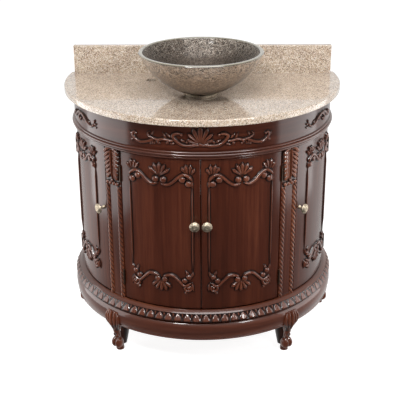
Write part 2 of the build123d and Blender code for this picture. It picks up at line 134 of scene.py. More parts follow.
def surfaced(nodes, values):
    """Ends a material with a surface of these values."""
    nodes.node("ShaderNodeOutputMaterial", {}, {0: nodes.node("ShaderNodeBsdfPrincipled", {}, values)})


world = bpy.data.worlds.new("studio")
world.use_nodes = True
scene.world = world
sky = Nodes(world.node_tree)
way = sky.node("ShaderNodeTexCoord", output="Generated")
front = sky.node("ShaderNodeSeparateXYZ", {}, {0: way}, "Y")
# Polished faces reflect a room that darkens to the front; the camera itself
# sees one pale backdrop.
reflected = sky.node("ShaderNodeValToRGB", {"stops": [
    (0.0, (0.012, 0.012, 0.012)), (0.30, (0.03, 0.03, 0.03)), (0.42, (0.16, 0.155, 0.155)),
    (0.52, (0.30, 0.29, 0.29)), (0.75, (0.95, 0.94, 0.93))]}, {0: front * 0.5 + 0.5})
looked_at = sky.node("ShaderNodeLightPath", output="Is Camera Ray")
backdrop = mixed(sky, looked_at, reflected, (1.2, 1.2, 1.2, 1))
glow = sky.node("ShaderNodeBackground", {}, {"Color": backdrop, "Strength": 0.8})
sky.node("ShaderNodeOutputWorld", {}, {0: glow})


def soft_light(name, place, aim, width, height, power):
    light = bpy.data.lights.new(name, "AREA")
    light.shape, light.size, light.size_y, light.energy = "RECTANGLE", width, height, power
    lamp = bpy.data.objects.new(name, light)
    lamp.location = place
    lamp.visible_camera = False
    lamp.rotation_euler = (Vector(aim) - Vector(place)).to_track_quat("-Z", "Y").to_euler()
    scene.collection.objects.link(lamp)


soft_light("overhead", (0.2, -1.2, 2.9), (0, 0, 0.6), 2.2, 1.3, 58)
soft_light("front_top", (-0.9, -2.0, 2.8), (0, 0, 0.5), 0.45, 0.35, 40)
soft_light("left_low", (-1.35, -0.05, 0.53), (0, -0.05, 0.53), 1.2, 1.0, 8.5)
soft_light("right_low", (1.45, 0.0, 0.55), (0, 0.0, 0.55), 1.2, 1.0, 7.5)
soft_light("right_front", (1.7, -2.0, 2.1), (0, 0, 0.8), 0.5, 0.8, 24)

floor_mesh = bpy.data.meshes.new("floor")
floor_mesh.from_pydata([(-30, -20, 0), (30, -20, 0), (30, 40, 0), (-30, 40, 0)], [], [(0, 1, 2, 3)])
floor = bpy.data.objects.new("floor", floor_mesh)
scene.collection.objects.link(floor)
floor.visible_glossy = False
floor_paint, paint = new_material("floor_paint")
surfaced(paint, {"Base Color": (0.45, 0.45, 0.45, 1), "Roughness": 0.9, "Specular IOR Level": 0.1,
                 "Emission Color": (1, 1, 1, 1), "Emission Strength": 0.88})
floor_mesh.materials.append(floor_paint)


# Rounded rail round the foot of the cabinet, bent from dark cherry-stained
# wood under a glossy lacquer. Like every curved board here it is struck from
# one upright axis a little in front of the wall, and stops flat at the wall.
top_low, top_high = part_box("countertop")
WALL = top_high.y
AXIS = top_low.y + top_high.x
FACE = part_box("cabinet_floor")[1].x


def wall_angle(radius):
    """Plan angle, from the front, at which a circle of this radius meets the wall."""
    return math.acos((AXIS - WALL) / radius)


def on_plan(radius, angle, z):
    return Vector((radius * math.sin(angle), AXIS - radius * math.cos(angle), z))


def sewn(work, rings):
    """Faces between each ring of vertices and the next."""
    faces = []
    for one, two in zip(rings, rings[1:]):
        for i in range(len(one)):
            j = (i + 1) % len(one)
            faces.append(work.faces.new((one[i], one[j], two[j], two[i])))
    return faces


def capped(work, rings):
    """A tube through the rings, closed by a flat face at both ends."""
    sewn(work, rings)
    work.faces.new(rings[0])
    work.faces.new(rings[-1][::-1])


def turned(outline, start=None, end=None, steps=120):
    """A closed outline of (radius, z) swept round the axis, to the wall where no angle is given."""
    work = bmesh.new()
    rows = []
    for k in range(steps + 1):
        row = []
        for radius, z in outline:
            low = -wall_angle(radius) if start is None else start
            high = wall_angle(radius) if end is None else end
            row.append(work.verts.new(on_plan(radius, low + (high - low) * k / steps, z)))
        rows.append(row)
    capped(work, rows)
    bmesh.ops.recalc_face_normals(work, faces=work.faces)
    return work


def span_of(node):
    """Lowest and highest plan angle, radius and height of a CAD board."""
    points = [v.co for v in frame["nodes"][node].data.vertices]
    angles = [math.atan2(p.x, AXIS - p.y) for p in points]
    radii = [math.hypot(p.x, AXIS - p.y) for p in points]
    heights = [p.z for p in points]
    return [(min(values), max(values)) for values in (angles, radii, heights)]


def mottle(nodes, where, scale, detail, rough=0.5, distortion=0.0, output=0):
    """Soft patches of light and dark, from 0 to 1."""
    return nodes.node("ShaderNodeTexNoise", {}, {"Vector": where, "Scale": scale, "Detail": detail,
        "Roughness": rough, "Distortion": distortion}, output)


def cherry(name, dark=0.0, glaze_and_shade=0.75, gloss=0.16, shine=0.10):
    """Dark cherry stain on wood with lacquer over it, and near-black colour in its hollows that is partly glaze and
    partly painted shade.
    """
    material, wood = new_material(name)
    grain = wood.node("ShaderNodeAttribute", {"attribute_name": "grain"}, output="Vector")
    relief = wood.node("ShaderNodeAttribute", {"attribute_name": "relief"}, output="Fac")

    def figure(stretch, detail, rough):
        where = wood.node("ShaderNodeMapping", {}, {"Vector": grain, "Scale": stretch})
        return mottle(wood, where, 1.0, detail, rough, 0.4)

    clouds = figure((9, 9, 1.6), 3, 0.5)
    streaks = figure((70, 70, 2.4), 5, 0.6)
    pores = figure((900, 900, 22), 2, 0.5)
    tone = clouds * 0.45 + streaks * 0.4 + pores * 0.15 - dark
    stain = wood.node("ShaderNodeValToRGB", {"stops": [
        (0.30, (0.018, 0.0036, 0.0014)), (0.5, (0.050, 0.0100, 0.0036)),
        (0.72, (0.105, 0.0255, 0.0095)), (0.95, (0.26, 0.084, 0.036))]}, {0: tone})
    # Painted shade: where the relief layer is low (hollows, creases, the feet of carvings, the backs of the feet) the
    # stain is mixed towards near-black, partly a glaze and partly the shade that falls there.
    glaze_and_shade_share = (1 - relief) * glaze_and_shade
    colour = mixed(wood, glaze_and_shade_share, stain, (0.0055, 0.0022, 0.0018, 1))
    bump = wood.node("ShaderNodeBump", {}, {
        "Strength": 0.12, "Distance": 0.0004, "Height": pores * 0.6 + streaks * 0.4})
    surfaced(wood, {"Base Color": colour, "Roughness": 0.38 + streaks * 0.12, "Coat Weight": 0.95 - glaze_and_shade_share * 0.2,
                    "Coat Roughness": gloss, "Specular IOR Level": shine, "Normal": bump})
    return material


cherry_flat = cherry("cherry_flat")
cherry_moulded = cherry("cherry_moulded", dark=-0.06, gloss=0.1, shine=0.45)
# The carved copy gets a lighter stain, a painted highlight for the light that carvings catch, and a darker mix in its
# hollows, painted shade.
cherry_carved = cherry("cherry_carved", dark=-0.17, glaze_and_shade=0.98, gloss=0.07, shine=0.3)


def finished(node, shape, material, grain="up", body="cabinet", name=None, sharp=38, bevel=0.0):
    """Makes the piece that stands for a CAD node: smooth faces, grain, finish and body."""
    name = name or node + "_wood"
    if isinstance(shape, bmesh.types.BMesh):
        mesh = bpy.data.meshes.new(name)
        shape.to_mesh(mesh)
        shape.free()
    else:
        mesh = shape
        mesh.name = name
    count = len(mesh.vertices)
    place = np.empty(count * 3, np.float32)
    mesh.vertices.foreach_get("co", place)
    place = place.reshape(-1, 3)
    place[:, 1] = np.minimum(place[:, 1], WALL)
    mesh.vertices.foreach_set("co", place.ravel())
    x, y, z = place.T
    arc, radius = np.arctan2(x, AXIS - y) * FACE, np.hypot(x, AXIS - y)
    lines = {"up": (arc, radius, z), "round": (z, radius, arc), "straight": (z, y, x)}[grain]
    mesh.attributes.new("grain", "FLOAT_VECTOR", "POINT").data.foreach_set(
        "vector", np.stack(lines, 1).astype(np.float32).ravel())
    if "relief" not in mesh.attributes:
        mesh.attributes.new("relief", "FLOAT", "POINT").data.foreach_set("value", np.ones(count, np.float32))
    mesh.materials.clear()
    mesh.materials.append(material)
    mesh.polygons.foreach_set("material_index", np.zeros(len(mesh.polygons), np.int32))
    mesh.shade_smooth()
    mesh.set_sharp_from_angle(angle=math.radians(sharp))
    piece = bpy.data.objects.new(name, mesh)
    scene.collection.objects.link(piece)
    if bevel:
        edge = piece.modifiers.new("eased_edges", "BEVEL")
        edge.width, edge.segments, edge.limit_method, edge.angle_limit = bevel, 2, "ANGLE", math.radians(50)
    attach(piece, body)
    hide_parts(node)
    return piece


_, (_, rail_face), (rail_low, rail_high) = span_of("base_rail")
rail_back = rail_face - 0.036
BELLY_DEPTH, BELLY_MIDDLE, BELLY_RISE, BELLY_LEAN = 0.0085, 0.0345, 0.0285, 0.006
rail_outline = [(rail_back, rail_low), (rail_face - 0.0075, rail_low), (rail_face - 0.0045, rail_low + 0.0012),
                (rail_face - 0.0035, rail_low + 0.004), (rail_face - 0.0055, rail_low + 0.0075),
                (rail_face - 0.0065, rail_low + 0.009)]
for k in range(13):
    turn = math.radians(-62 + 124 * k / 12)
    rail_outline.append((
        rail_face - BELLY_DEPTH + BELLY_DEPTH * math.cos(turn) - BELLY_LEAN * max(0, math.sin(turn)) ** 2,
        rail_low + BELLY_MIDDLE + BELLY_RISE * math.sin(turn)))
rail_outline += [(rail_face - 0.014, rail_high - 0.001), (rail_back, rail_high)]
finished("base_rail", turned(rail_outline), cherry_moulded, "round")


# Base moulding that stands on the rail: a plain lacquered slope and, under
# it, a band carved with pointed tongues and small darts between them, all in
# one bent cherry-stained moulding.
_, (_, base_face), (base_low, base_high) = span_of("base_moulding")
MOULDING_BACK = FACE - 0.016
BAND_FOOT, BAND_HEAD, BAND_FALL = 0.008, 0.0095, 0.0135
slope = [(MOULDING_BACK, base_low), (base_face - 0.014, base_low), (base_face - 0.0125, base_low + 0.0015),
         (base_face - 0.0105, base_low + 0.0035), (base_face - 0.0105, base_low + 0.0045),
         (base_face - 0.0035, base_low + 0.006), (base_face - 0.003, base_low + BAND_FOOT),
         (base_face - 0.0165, base_high - BAND_HEAD), (base_face - 0.0165, base_high - 0.0085),
         (base_face - 0.0155, base_high - 0.0075), (base_face - 0.018, base_high - 0.0055),
         (base_face - 0.024, base_high - 0.0015), (base_face - 0.027, base_high), (MOULDING_BACK, base_high)]


def smooth_way(points, steps):
    """Evenly numbered points on a smooth curve through the given ones."""
    points = [Vector(p) for p in points]
    padded = [points[0] * 2 - points[1]] + points + [points[-1] * 2 - points[-2]]
    made = []
    spans = len(points) - 1
    for k in range(steps + 1):
        whole = min(int(k * spans / steps), spans - 1)
        t = k * spans / steps - whole
        a, b, c, d = padded[whole:whole + 4]
        made.append(0.5 * (2 * b + (c - a) * t + (2 * a - 5 * b + 4 * c - d) * t * t
                           + (3 * b - a - 3 * c + d) * t ** 3))
    return made


def swell(kind, t):
    """Width of a carved form, as a share of its widest, at t along it."""
    if kind == "strand":
        return max(0.05, min(1.0, math.sqrt(min(1.0, 9 * t)), math.sqrt(min(1.0, 9 * (1 - t)))))
    if kind == "tail":
        return max(0.05, math.sqrt(min(1.0, 8 * t)) * (1 - 0.75 * t))
    if kind == "leaf":
        return max(0.04, math.sin(math.pi * t ** 0.75) ** 0.8)
    if kind == "ogive":
        return 0.97 if t < 0.25 else max(0.04, 0.97 * (1 - ((t - 0.25) / 0.75) ** 1.7))
    tip = 1.0 if t < 0.72 else math.sqrt(max(0.0, 1 - ((t - 0.72) / 0.28) ** 2))
    return max(0.05, (0.38 + 0.62 * min(1.0, t / 0.72)) * tip)


def relief_of(work):
    """The layer that holds 0 where glaze and painted shade lie and 1 on the high points."""
    return work.verts.layers.float.get("relief") or work.verts.layers.float.new("relief")


def carved(work, points, width, height, kind="strand", groove=0.0, lift=0.0, steps=14, across=8, sink=1.2, foot=2.6):
    """A carved strand, leaf or petal on a flat ground, in millimetres: x right, y into the wood, z up.

    A low skirt round its foot, and its low flanks, carry painted shade: they take the dark colour, as a shadow round
    the form."""
    layer = relief_of(work)
    way = smooth_way(points, steps)
    rows = []
    for k, point in enumerate(way):
        t = k / steps
        ahead = (way[min(k + 1, steps)] - way[max(k - 1, 0)]).normalized()
        side = Vector((ahead.y, -ahead.x))
        if k in (0, steps):
            point = point + ahead * (foot * 0.8 * (1 if k else -1))
        wide = width / 2 * swell(kind, t)
        tall = height * (0.35 + 0.65 * min(1.0, swell(kind, t) * 1.15)) * (1 - lift + lift * t)
        tall *= 0.12 if k in (0, steps) else 1.0
        row = []
        # Painted shade: the two skirt rows lie just over the ground with relief 0, and relief falls to 0 on the low
        # flanks, so the dark colour draws a shadow round each form.
        skirt = foot * 0.11
        for s, rise in ([(-1, -sink), (-1, skirt)] + [(2 * i / across - 1, None) for i in range(across + 1)]
                        + [(1, skirt), (1, -sink)]):
            reach = wide * s + (foot * s if rise is not None else 0)
            deep = 0.0
            if rise is None:
                rise = skirt + tall * max(0.0, 1 - s * s) ** 0.6 - groove * tall * math.exp(-(s / 0.25) ** 2)
                deep = max(0.0, min(1.0, (rise / tall - 0.52) / 0.32)) if 0 < k < steps else 0.0
            spot = point + side * reach
            row.append(work.verts.new((spot.x, -rise, spot.y)))
            row[-1][layer] = deep
        rows.append(row)
    for one, two in zip(rows, rows[1:]):
        for i in range(len(one) - 1):
            work.faces.new((one[i], two[i], two[i + 1], one[i + 1]))
        work.faces.new((one[0], one[-1], two[-1], two[0]))
    work.faces.new(rows[0])
    work.faces.new(rows[-1][::-1])


def domed(work, rings, crown):
    """The rings closed by a vertex over the last one and a flat face under the first."""
    sewn(work, rings)
    last = rings[-1]
    for i in range(len(last)):
        work.faces.new((last[i], last[(i + 1) % len(last)], crown))
    work.faces.new(rings[0][::-1])


def berry(work, around=14):
    """A carved half round of radius and height 1 on the ground, with painted shade at its foot: its low rings take
    the dark colour.
    """
    layer = relief_of(work)
    turns = [2 * math.pi * i / around for i in range(around)]
    rings = []
    for share, lift, deep in ((1.24, -0.2, 0.0), (1.24, 0.04, 0.0), (1.0, 0.05, 0.0), (0.93, 0.42, 0.1),
                              (0.78, 0.72, 0.9), (0.42, 0.93, 1.0)):
        rings.append([work.verts.new((share * math.cos(turn), -lift, share * math.sin(turn))) for turn in turns])
        for vert in rings[-1]:
            vert[layer] = deep
    crown = work.verts.new((0, -1, 0))
    crown[layer] = 1.0
    domed(work, rings, crown)


def recipe(name, sizes):
    """A Geometry Nodes tree with a named input for each size, and a function that gives an input by name."""
    tree = bpy.data.node_groups.new(name, "GeometryNodeTree")
    tree.interface.new_socket("Geometry", in_out="INPUT", socket_type="NodeSocketGeometry")
    for size, kind in sizes.items():
        tree.interface.new_socket(size, in_out="INPUT", socket_type="NodeSocket" + kind)
    tree.interface.new_socket("Geometry", in_out="OUTPUT", socket_type="NodeSocketGeometry")
    nodes = Nodes(tree)
    inlet = tree.nodes.new("NodeGroupInput")
    return nodes, lambda size: Wire(nodes, inlet.outputs[size])


def outlet(nodes, shape, material):
    """Ends a tree: real faces in place of instances, and their finish."""
    whole = nodes.node("GeometryNodeRealizeInstances", {}, {0: shape})
    dressed = nodes.node("GeometryNodeSetMaterial", {}, {0: whole, "Material": material})
    nodes.node("NodeGroupOutput", {}, {0: dressed})


def grown(nodes, base, values):
    """The plain mesh that a recipe gives on a base mesh."""
    carrier = bpy.data.objects.new("carrier", base)
    scene.collection.objects.link(carrier)
    growth = carrier.modifiers.new("growth", "NODES")
    growth.node_group = nodes.tree
    for item in nodes.tree.interface.items_tree:
        if item.in_out == "INPUT" and item.name in values:
            growth[item.identifier] = values[item.name]
    view = bpy.context.evaluated_depsgraph_get()
    mesh = bpy.data.meshes.new_from_object(
        carrier.evaluated_get(view), preserve_all_data_layers=True, depsgraph=view)
    carrier.modifiers.clear()
    bpy.data.objects.remove(carrier)
    return mesh


def pattern(name, work, scale=1.0):
    """A hidden object that a recipe repeats."""
    mesh = bpy.data.meshes.new(name)
    bmesh.ops.recalc_face_normals(work, faces=work.faces)
    bmesh.ops.scale(work, vec=(scale,) * 3, verts=work.verts)
    work.to_mesh(mesh)
    work.free()
    piece = bpy.data.objects.new(name, mesh)
    scene.collection.objects.link(piece)
    piece.hide_render = True
    return piece


TONGUE_PITCH = 0.031
tongue_work = bmesh.new()
carved(tongue_work, [(0, -12.5), (0, 0), (0, 13)], 30.5, 3.6, "ogive", groove=0.25, steps=10, across=8, foot=0.8)
carved(tongue_work, [(-15.5, 0), (-15.5, 6), (-15.5, 13)], 6.5, 2.6, "petal", steps=6, across=4, foot=0.6)
tongue = pattern("tongue", tongue_work, 0.001)
band, size = recipe("leaf_band", {"Count": "Int", "Radius": "Float", "Level": "Float", "Axis": "Float",
    "Tilt": "Float", "Span": "Float", "Tongue": "Object", "Finish": "Material"})
row = band.node("GeometryNodeMeshLine", {}, {"Count": size("Count")})
spot = band.node("GeometryNodeInputIndex")
angle = ((spot + 0.5) / size("Count") - 0.5) * size("Span")
place = band.node("ShaderNodeCombineXYZ", {}, {
    0: band.node("ShaderNodeMath", {"operation": "SINE"}, {0: angle}) * size("Radius"),
    1: size("Axis") - band.node("ShaderNodeMath", {"operation": "COSINE"}, {0: angle}) * size("Radius"),
    2: size("Level")})
row = band.node("GeometryNodeSetPosition", {}, {"Geometry": row, "Position": place})
shape = band.node("GeometryNodeObjectInfo", {}, {"Object": size("Tongue")}, "Geometry")
turning = band.node("ShaderNodeCombineXYZ", {}, {0: size("Tilt"), 2: angle})
laid = band.node("GeometryNodeInstanceOnPoints", {}, {"Points": row, "Instance": shape, "Rotation": turning})
outlet(band, laid, size("Finish"))
band_radius = base_face - 0.0105
lean_back = math.atan2(BAND_FALL, base_high - BAND_HEAD - base_low - BAND_FOOT)
leaves = grown(band, bpy.data.meshes.new("empty"), {
    "Count": round(2 * wall_angle(band_radius) * band_radius / TONGUE_PITCH), "Radius": band_radius,
    "Level": base_low + 0.0175, "Axis": AXIS, "Tilt": -lean_back, "Span": 2 * wall_angle(band_radius) - 0.012,
    "Tongue": tongue, "Finish": cherry_carved})
moulding = turned(slope)
# Painted shade: the ground of the carved band and the foot of the moulding get the dark colour, and the plain slope
# is darkened a little as if shaded by the doors above.
deep = relief_of(moulding)
for vert in moulding.verts:
    in_band = base_low + 0.005 < vert.co.z < base_high - 0.008 and math.hypot(vert.co.x, AXIS - vert.co.y) > FACE
    vert[deep] = 0.05 if in_band or vert.co.z < base_low + 0.005 else 0.72
moulding.from_mesh(leaves)
finished("base_moulding", moulding, cherry_carved, "round")
bpy.data.objects.remove(tongue)


# Short cabriole feet, each carved from one block and glued under the rail:
# the front ones have a fluted knee that laps over the rail, and all end in a
# rolled toe on a small pad.
RAIL_OUT = (rail_face - FACE) * 1000


def rod(work, points, sizes, steps=16, around=14):
    """A tapering rod along points (side, out from the rail's face, up), in millimetres, with half widths."""
    way = smooth_way([(side, out + RAIL_OUT, up) for side, out, up in points], steps)
    sizes = smooth_way(sizes, steps)
    rows = []
    for k, point in enumerate(way):
        ahead = (way[min(k + 1, steps)] - way[max(k - 1, 0)]).normalized()
        side = (Vector((1, 0, 0)) - ahead * ahead.x).normalized()
        out = ahead.cross(side)
        wide, deep = sizes[k]
        rows.append([work.verts.new(point + side * (wide * math.cos(2 * math.pi * i / around))
                                    + out * (deep * math.sin(2 * math.pi * i / around))) for i in range(around)])
    capped(work, rows)


def ball(work, side, out, up, radii):
    bmesh.ops.create_uvsphere(work, u_segments=20, v_segments=12, radius=1,
        matrix=Matrix.Translation((side, out + RAIL_OUT, up)) @ Matrix.Diagonal((*radii, 1)))


for name in ("front_left", "front_right", "rear_left", "rear_right"):
    node = "foot_" + name
    (first, last), (inner, outer), (low, high) = span_of(node)
    middle = (first + last) / 2
    work = bmesh.new()
    ankle = [(0, -22, 100), (0, -16, 80), (0, -21, 62), (0, -24, 46), (0, -26, 34)]
    rod(work, ankle, [(15, 17), (12, 13), (9.5, 10), (9, 9.5), (11, 12)])
    for side in (-1, 1):
        ball(work, side * 8, -19, 30, (11, 18, 20))
        rod(work, [(side * 6, -20, 50), (side * 8, -12, 60), (side * 5, -14, 72)],
            [(3.5, 3.5), (3.5, 3), (2, 2)], 8, 8)
    ball(work, 0, -25, 30, (13, 13, 14))
    rod(work, [(0, -30, -3), (0, -30, 7), (0, -29, 17)], [(14, 14), (14, 14), (12, 13)], 6)
    rod(work, [(0, -62, 107), (0, -58, 82), (0, -54, 58), (0, -50, 36), (0, -46, 14)],
        [(16, 20), (12, 21), (10, 20), (9, 18), (9, 14)])
    if name.startswith("front"):
        rod(work, [(0, -2, 160), (0, 1, 142), (0, -1, 120), (0, -8, 98), (0, -17, 78)],
            [(23, 3), (26, 4), (25, 6), (17, 10), (10, 11)], 18, 20)
        for flute in range(5):
            turn = (flute - 2) / 2
            away = abs(turn)
            rod(work, [(turn * 19, 3 - away * 3, 163 - away * 9),
                       (turn * 25, 8.5 - away * 6, 142 - away * 4),
                       (turn * 23, 8 - away * 8, 118), (turn * 14, -1 - away * 6, 97 + away * 2),
                       (turn * 6, -10, 78)],
                [(3.2, 3), (5.0, 6.5), (5.0, 7), (3.6, 5.5), (2, 2)], 16, 12)
    else:
        rod(work, [(0, -12, 107), (0, -14, 94), (0, -18, 78)], [(17, 14), (15, 14), (11, 12)], 8)
    mesh = bpy.data.meshes.new(node)
    bmesh.ops.recalc_face_normals(work, faces=work.faces)
    work.to_mesh(mesh)
    work.free()
    block = bpy.data.objects.new(node + "_block", mesh)
    scene.collection.objects.link(block)
    merged = block.modifiers.new("one_block", "REMESH")
    merged.mode, merged.voxel_size = "VOXEL", 1.15
    eased = block.modifiers.new("sanded", "SMOOTH")
    eased.factor, eased.iterations = 0.5, 2
    view = bpy.context.evaluated_depsgraph_get()
    carving = bpy.data.meshes.new_from_object(block.evaluated_get(view), depsgraph=view)
    bpy.data.objects.remove(block)
    work = bmesh.new()
    work.from_mesh(carving)
    layer = relief_of(work)
    # Painted shade: creases, found from how each vertex folds in, and the back of the leg, which stands in shadow,
    # get the dark colour.
    for vert in work.verts:
        side, outward, up = vert.co
        fold = sum(vert.normal.dot((e.other_vert(vert).co - vert.co).normalized()) for e in vert.link_edges)
        behind = max(0.0, min(1.0, (outward - (RAIL_OUT - 46)) / 14))
        vert[layer] = max(0.0, min(1.0, 0.85 - fold * 3.2)) * (0.05 + 0.95 * behind)
        reach = max(inner, min(FACE + outward / 1000, outer))
        vert.co = on_plan(reach, middle + side / 1000 / FACE, max(low, min(high, up / 1000)))
    bmesh.ops.recalc_face_normals(work, faces=work.faces)
    finished(node, work, cherry_carved, sharp=180)


# Inside of the cabinet: floor, back panel, partitions, the frame under the
# top and the glue blocks over the feet, cut from plain board with a satin
# brown stain. They are flat boards, and are used as they were cut.
def inside_board(name, stretch):
    material, board = new_material(name)
    place = board.node("ShaderNodeTexCoord", output="Object")
    long = board.node("ShaderNodeMapping", {}, {"Vector": place, "Scale": stretch})
    lines = mottle(board, long, 1.0, 6.0, 0.62, 0.8)
    stain = board.node("ShaderNodeValToRGB", {"stops": [
        (0.3, (0.035, 0.013, 0.007)), (0.52, (0.085, 0.034, 0.018)), (0.75, (0.15, 0.066, 0.034))]}, {0: lines})
    bump = board.node("ShaderNodeBump", {}, {"Strength": 0.2, "Distance": 0.0003, "Height": lines})
    surfaced(board, {"Base Color": stain, "Roughness": 0.5 + lines * 0.15, "Normal": bump})
    return material


upright_board = inside_board("inside_upright", (60, 60, 2.2))
flat_board = inside_board("inside_flat", (2.2, 60, 60))


def dressed(node, material):
    """Gives a CAD node its finish."""
    mesh = frame["nodes"][node].data
    mesh.materials.clear()
    mesh.materials.append(material)


for node in ("back_panel", "partition_left", "partition_right", "foot_blocks"):
    dressed(node, upright_board)
for node in ("cabinet_floor", "web_frame"):
    dressed(node, flat_board)


# Rear stiles and pilasters: upright curved boards at the back corners and
# between the doors, bent from the same lacquered cherry. The grooves for the
# rope columns are left out, because the ropes cover them.
BOARD_BACK = FACE - 0.020
for side in ("left", "right"):
    for part in ("rear_stile", "pilaster"):
        node = part + "_" + side
        (first, last), _, (low, high) = span_of(node)
        if part == "rear_stile":
            first, last = (None, last) if side == "left" else (first, None)
        board = turned([(BOARD_BACK, low), (FACE, low), (FACE, high), (BOARD_BACK, high)], first, last, 16)
        finished(node, board, cherry_flat, bevel=0.0012)


# Rope columns: round rods carved as three right-handed strands, let into the
# pilasters from the base moulding up to the acanthus leaves.
STRANDS, ROPE_LEAD = 3, 0.051
# Lighter still, with near-black hollows: painted highlight on the crests of the ropes and acanthus, painted shade in
# their crevices.
cherry_deep_cut = cherry("cherry_deep_cut", dark=-0.25, glaze_and_shade=0.99, gloss=0.07, shine=0.4)
rope, size = recipe("rope_column", {"Height": "Float", "Turns": "Float", "Strand": "Float", "Reach": "Float",
    "Foot": "Vector", "Finish": "Material"})
helix = rope.node("GeometryNodeCurveSpiral", {}, {"Resolution": 22, "Rotations": size("Turns"),
    "Start Radius": size("Reach"), "End Radius": size("Reach"), "Height": size("Height")})
section = rope.node("GeometryNodeCurvePrimitiveCircle", {}, {"Resolution": 12, "Radius": size("Strand")})
strand = rope.node("GeometryNodeCurveToMesh", {}, {"Curve": helix, "Profile Curve": section, "Fill Caps": True})
starts = rope.node("GeometryNodeMeshLine", {}, {"Count": STRANDS, "Offset": (0, 0, 0)})
share = rope.node("ShaderNodeCombineXYZ", {}, {2: rope.node("GeometryNodeInputIndex") * (2 * math.pi / STRANDS)})
laid = rope.node("GeometryNodeInstanceOnPoints", {}, {"Points": starts, "Instance": strand, "Rotation": share})
outlet(rope, rope.node("GeometryNodeTransform", {}, {"Geometry": laid, "Translation": size("Foot")}), size("Finish"))
for side in ("left", "right"):
    for part in ("inner", "outer"):
        node = "rope_%s_%s" % (side, part)
        low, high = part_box(node)
        centre = (low + high) / 2
        half = (high.x - low.x) / 2
        mesh = grown(rope, bpy.data.meshes.new("empty"), {"Height": high.z - low.z, "Strand": half * 0.5,
            "Turns": (high.z - low.z) / ROPE_LEAD, "Reach": half * 0.5, "Foot": (centre.x, centre.y, low.z),
            "Finish": cherry_deep_cut})
        work = bmesh.new()
        work.from_mesh(mesh)
        layer = relief_of(work)
        # Painted shade: the crevices between strands, near the core of the rod, get the dark colour.
        for vert in work.verts:
            away = math.hypot(vert.co.x - centre.x, vert.co.y - centre.y) / half
            vert[layer] = max(0.0, min(1.0, (away - 0.68) / 0.22))
            vert.co.z = max(low.z, min(high.z, vert.co.z))
        finished(node, work, cherry_deep_cut)


# Acanthus leaves that hang at the head of each pilaster over a row of four
# berries: a ribbed leaf with seven lobes a side, carved in one piece and
# glued on.
carvings, size = recipe("carved_details", {"Berry": "Object", "Petal": "Object", "Leaf": "Object",
    "Finish": "Material"})
parts = []
for kind, part in enumerate(("Berry", "Petal", "Leaf")):
    here = carvings.node("FunctionNodeCompare", {"data_type": "INT", "operation": "EQUAL"}, {
        2: carvings.node("GeometryNodeInputNamedAttribute", {"data_type": "INT"}, {"Name": "kind"}), 3: kind})
    turn = carvings.node("GeometryNodeInputNamedAttribute", {"data_type": "FLOAT"}, {"Name": "turn"})
    width = carvings.node("GeometryNodeInputNamedAttribute", {"data_type": "FLOAT_VECTOR"}, {"Name": "size"})
    form = carvings.node("GeometryNodeObjectInfo", {}, {"Object": size(part)}, "Geometry")
    parts.append(carvings.node("GeometryNodeInstanceOnPoints", {}, {"Points": size("Geometry"), "Selection": here,
        "Instance": form, "Rotation": carvings.node("ShaderNodeCombineXYZ", {}, {1: turn}), "Scale": width}))
joined = carvings.tree.nodes.new("GeometryNodeJoinGeometry")
for part in parts:
    carvings.tree.links.new(part.socket, joined.inputs[0])
outlet(carvings, Wire(carvings, joined.outputs[0]), size("Finish"))

one = bmesh.new()
berry(one)
berry_form = pattern("berry_form", one)
one = bmesh.new()
carved(one, [(0, 0), (0, 0.5), (0, 1)], 1, 1, "petal", groove=0.2, lift=0.35, steps=10, across=6, sink=0.2,
       foot=0.18)
petal_form = pattern("petal_form", one)
one = bmesh.new()
carved(one, [(0, 0), (0.06, 0.5), (-0.05, 1)], 1, 1, "leaf", groove=0.25, lift=0.2, steps=10, across=6, sink=0.2,
       foot=0.18)
leaf_form = pattern("leaf_form", one)
BERRY, PETAL, LEAF = 0, 1, 2


def scattered(work, details):
    """Adds berries, petals and leaves: (kind, x, z, turn in degrees from upright, width, height, length)."""
    points = bpy.data.meshes.new("points")
    points.from_pydata([(d[1], 0, d[2]) for d in details], [], [])
    points.attributes.new("kind", "INT", "POINT").data.foreach_set("value", [d[0] for d in details])
    points.attributes.new("turn", "FLOAT", "POINT").data.foreach_set("value", [math.radians(d[3]) for d in details])
    points.attributes.new("size", "FLOAT_VECTOR", "POINT").data.foreach_set(
        "vector", [value for d in details for value in d[4:]])
    work.from_mesh(grown(carvings, points, {"Berry": berry_form, "Petal": petal_form, "Leaf": leaf_form,
        "Finish": cherry_carved}))


def wrapped(work, radius, angle):
    """Bends a flat carving, in millimetres, on to a curved face."""
    bmesh.ops.recalc_face_normals(work, faces=work.faces)
    for vert in work.verts:
        x, y, z = vert.co
        vert.co = on_plan(radius - y / 1000, angle + x / 1000 / radius, z / 1000)
    return work


for side in ("left", "right"):
    node = "acanthus_" + side
    (first, last), _, (low, high) = span_of(node)
    wide, tall = (last - first) * FACE * 1000, (high - low) * 1000
    head, reach = high * 1000, wide / 2
    work = bmesh.new()
    carved(work, [(0, head - 1), (0, head - tall * 0.5), (0, head - tall * 0.88)], reach * 1.7, 3.5, "leaf",
           steps=16, across=10)
    for turn in (-1, 1):
        for lobe in range(7):
            top = head + 4 - lobe * tall * 0.113
            fan = 1.1 - 0.045 * lobe
            carved(work, [(turn * 1.5, min(head - 2, top)), (turn * reach * 0.55 * fan, min(head - 4, top - 9)),
                          (turn * reach * fan, top - 24)], 15.5, 12.5 - lobe * 0.4, "petal", groove=0.22, lift=0.3,
                   steps=10, across=8)
    carved(work, [(0, head - 0.5), (0, head - tall * 0.4), (0, head - tall * 0.9)], 5.0, 11.5, "leaf", steps=16)
    scattered(work, [(BERRY, (i - 1.5) * wide * 0.245, low * 1000 + 7.6, 0, 7.4, 10, 7.4) for i in range(4)]
              + [(BERRY, 0, low * 1000 + 17, 0, 5.5, 9, 5.5)])
    finished(node, wrapped(work, FACE, (first + last) / 2), cherry_deep_cut)


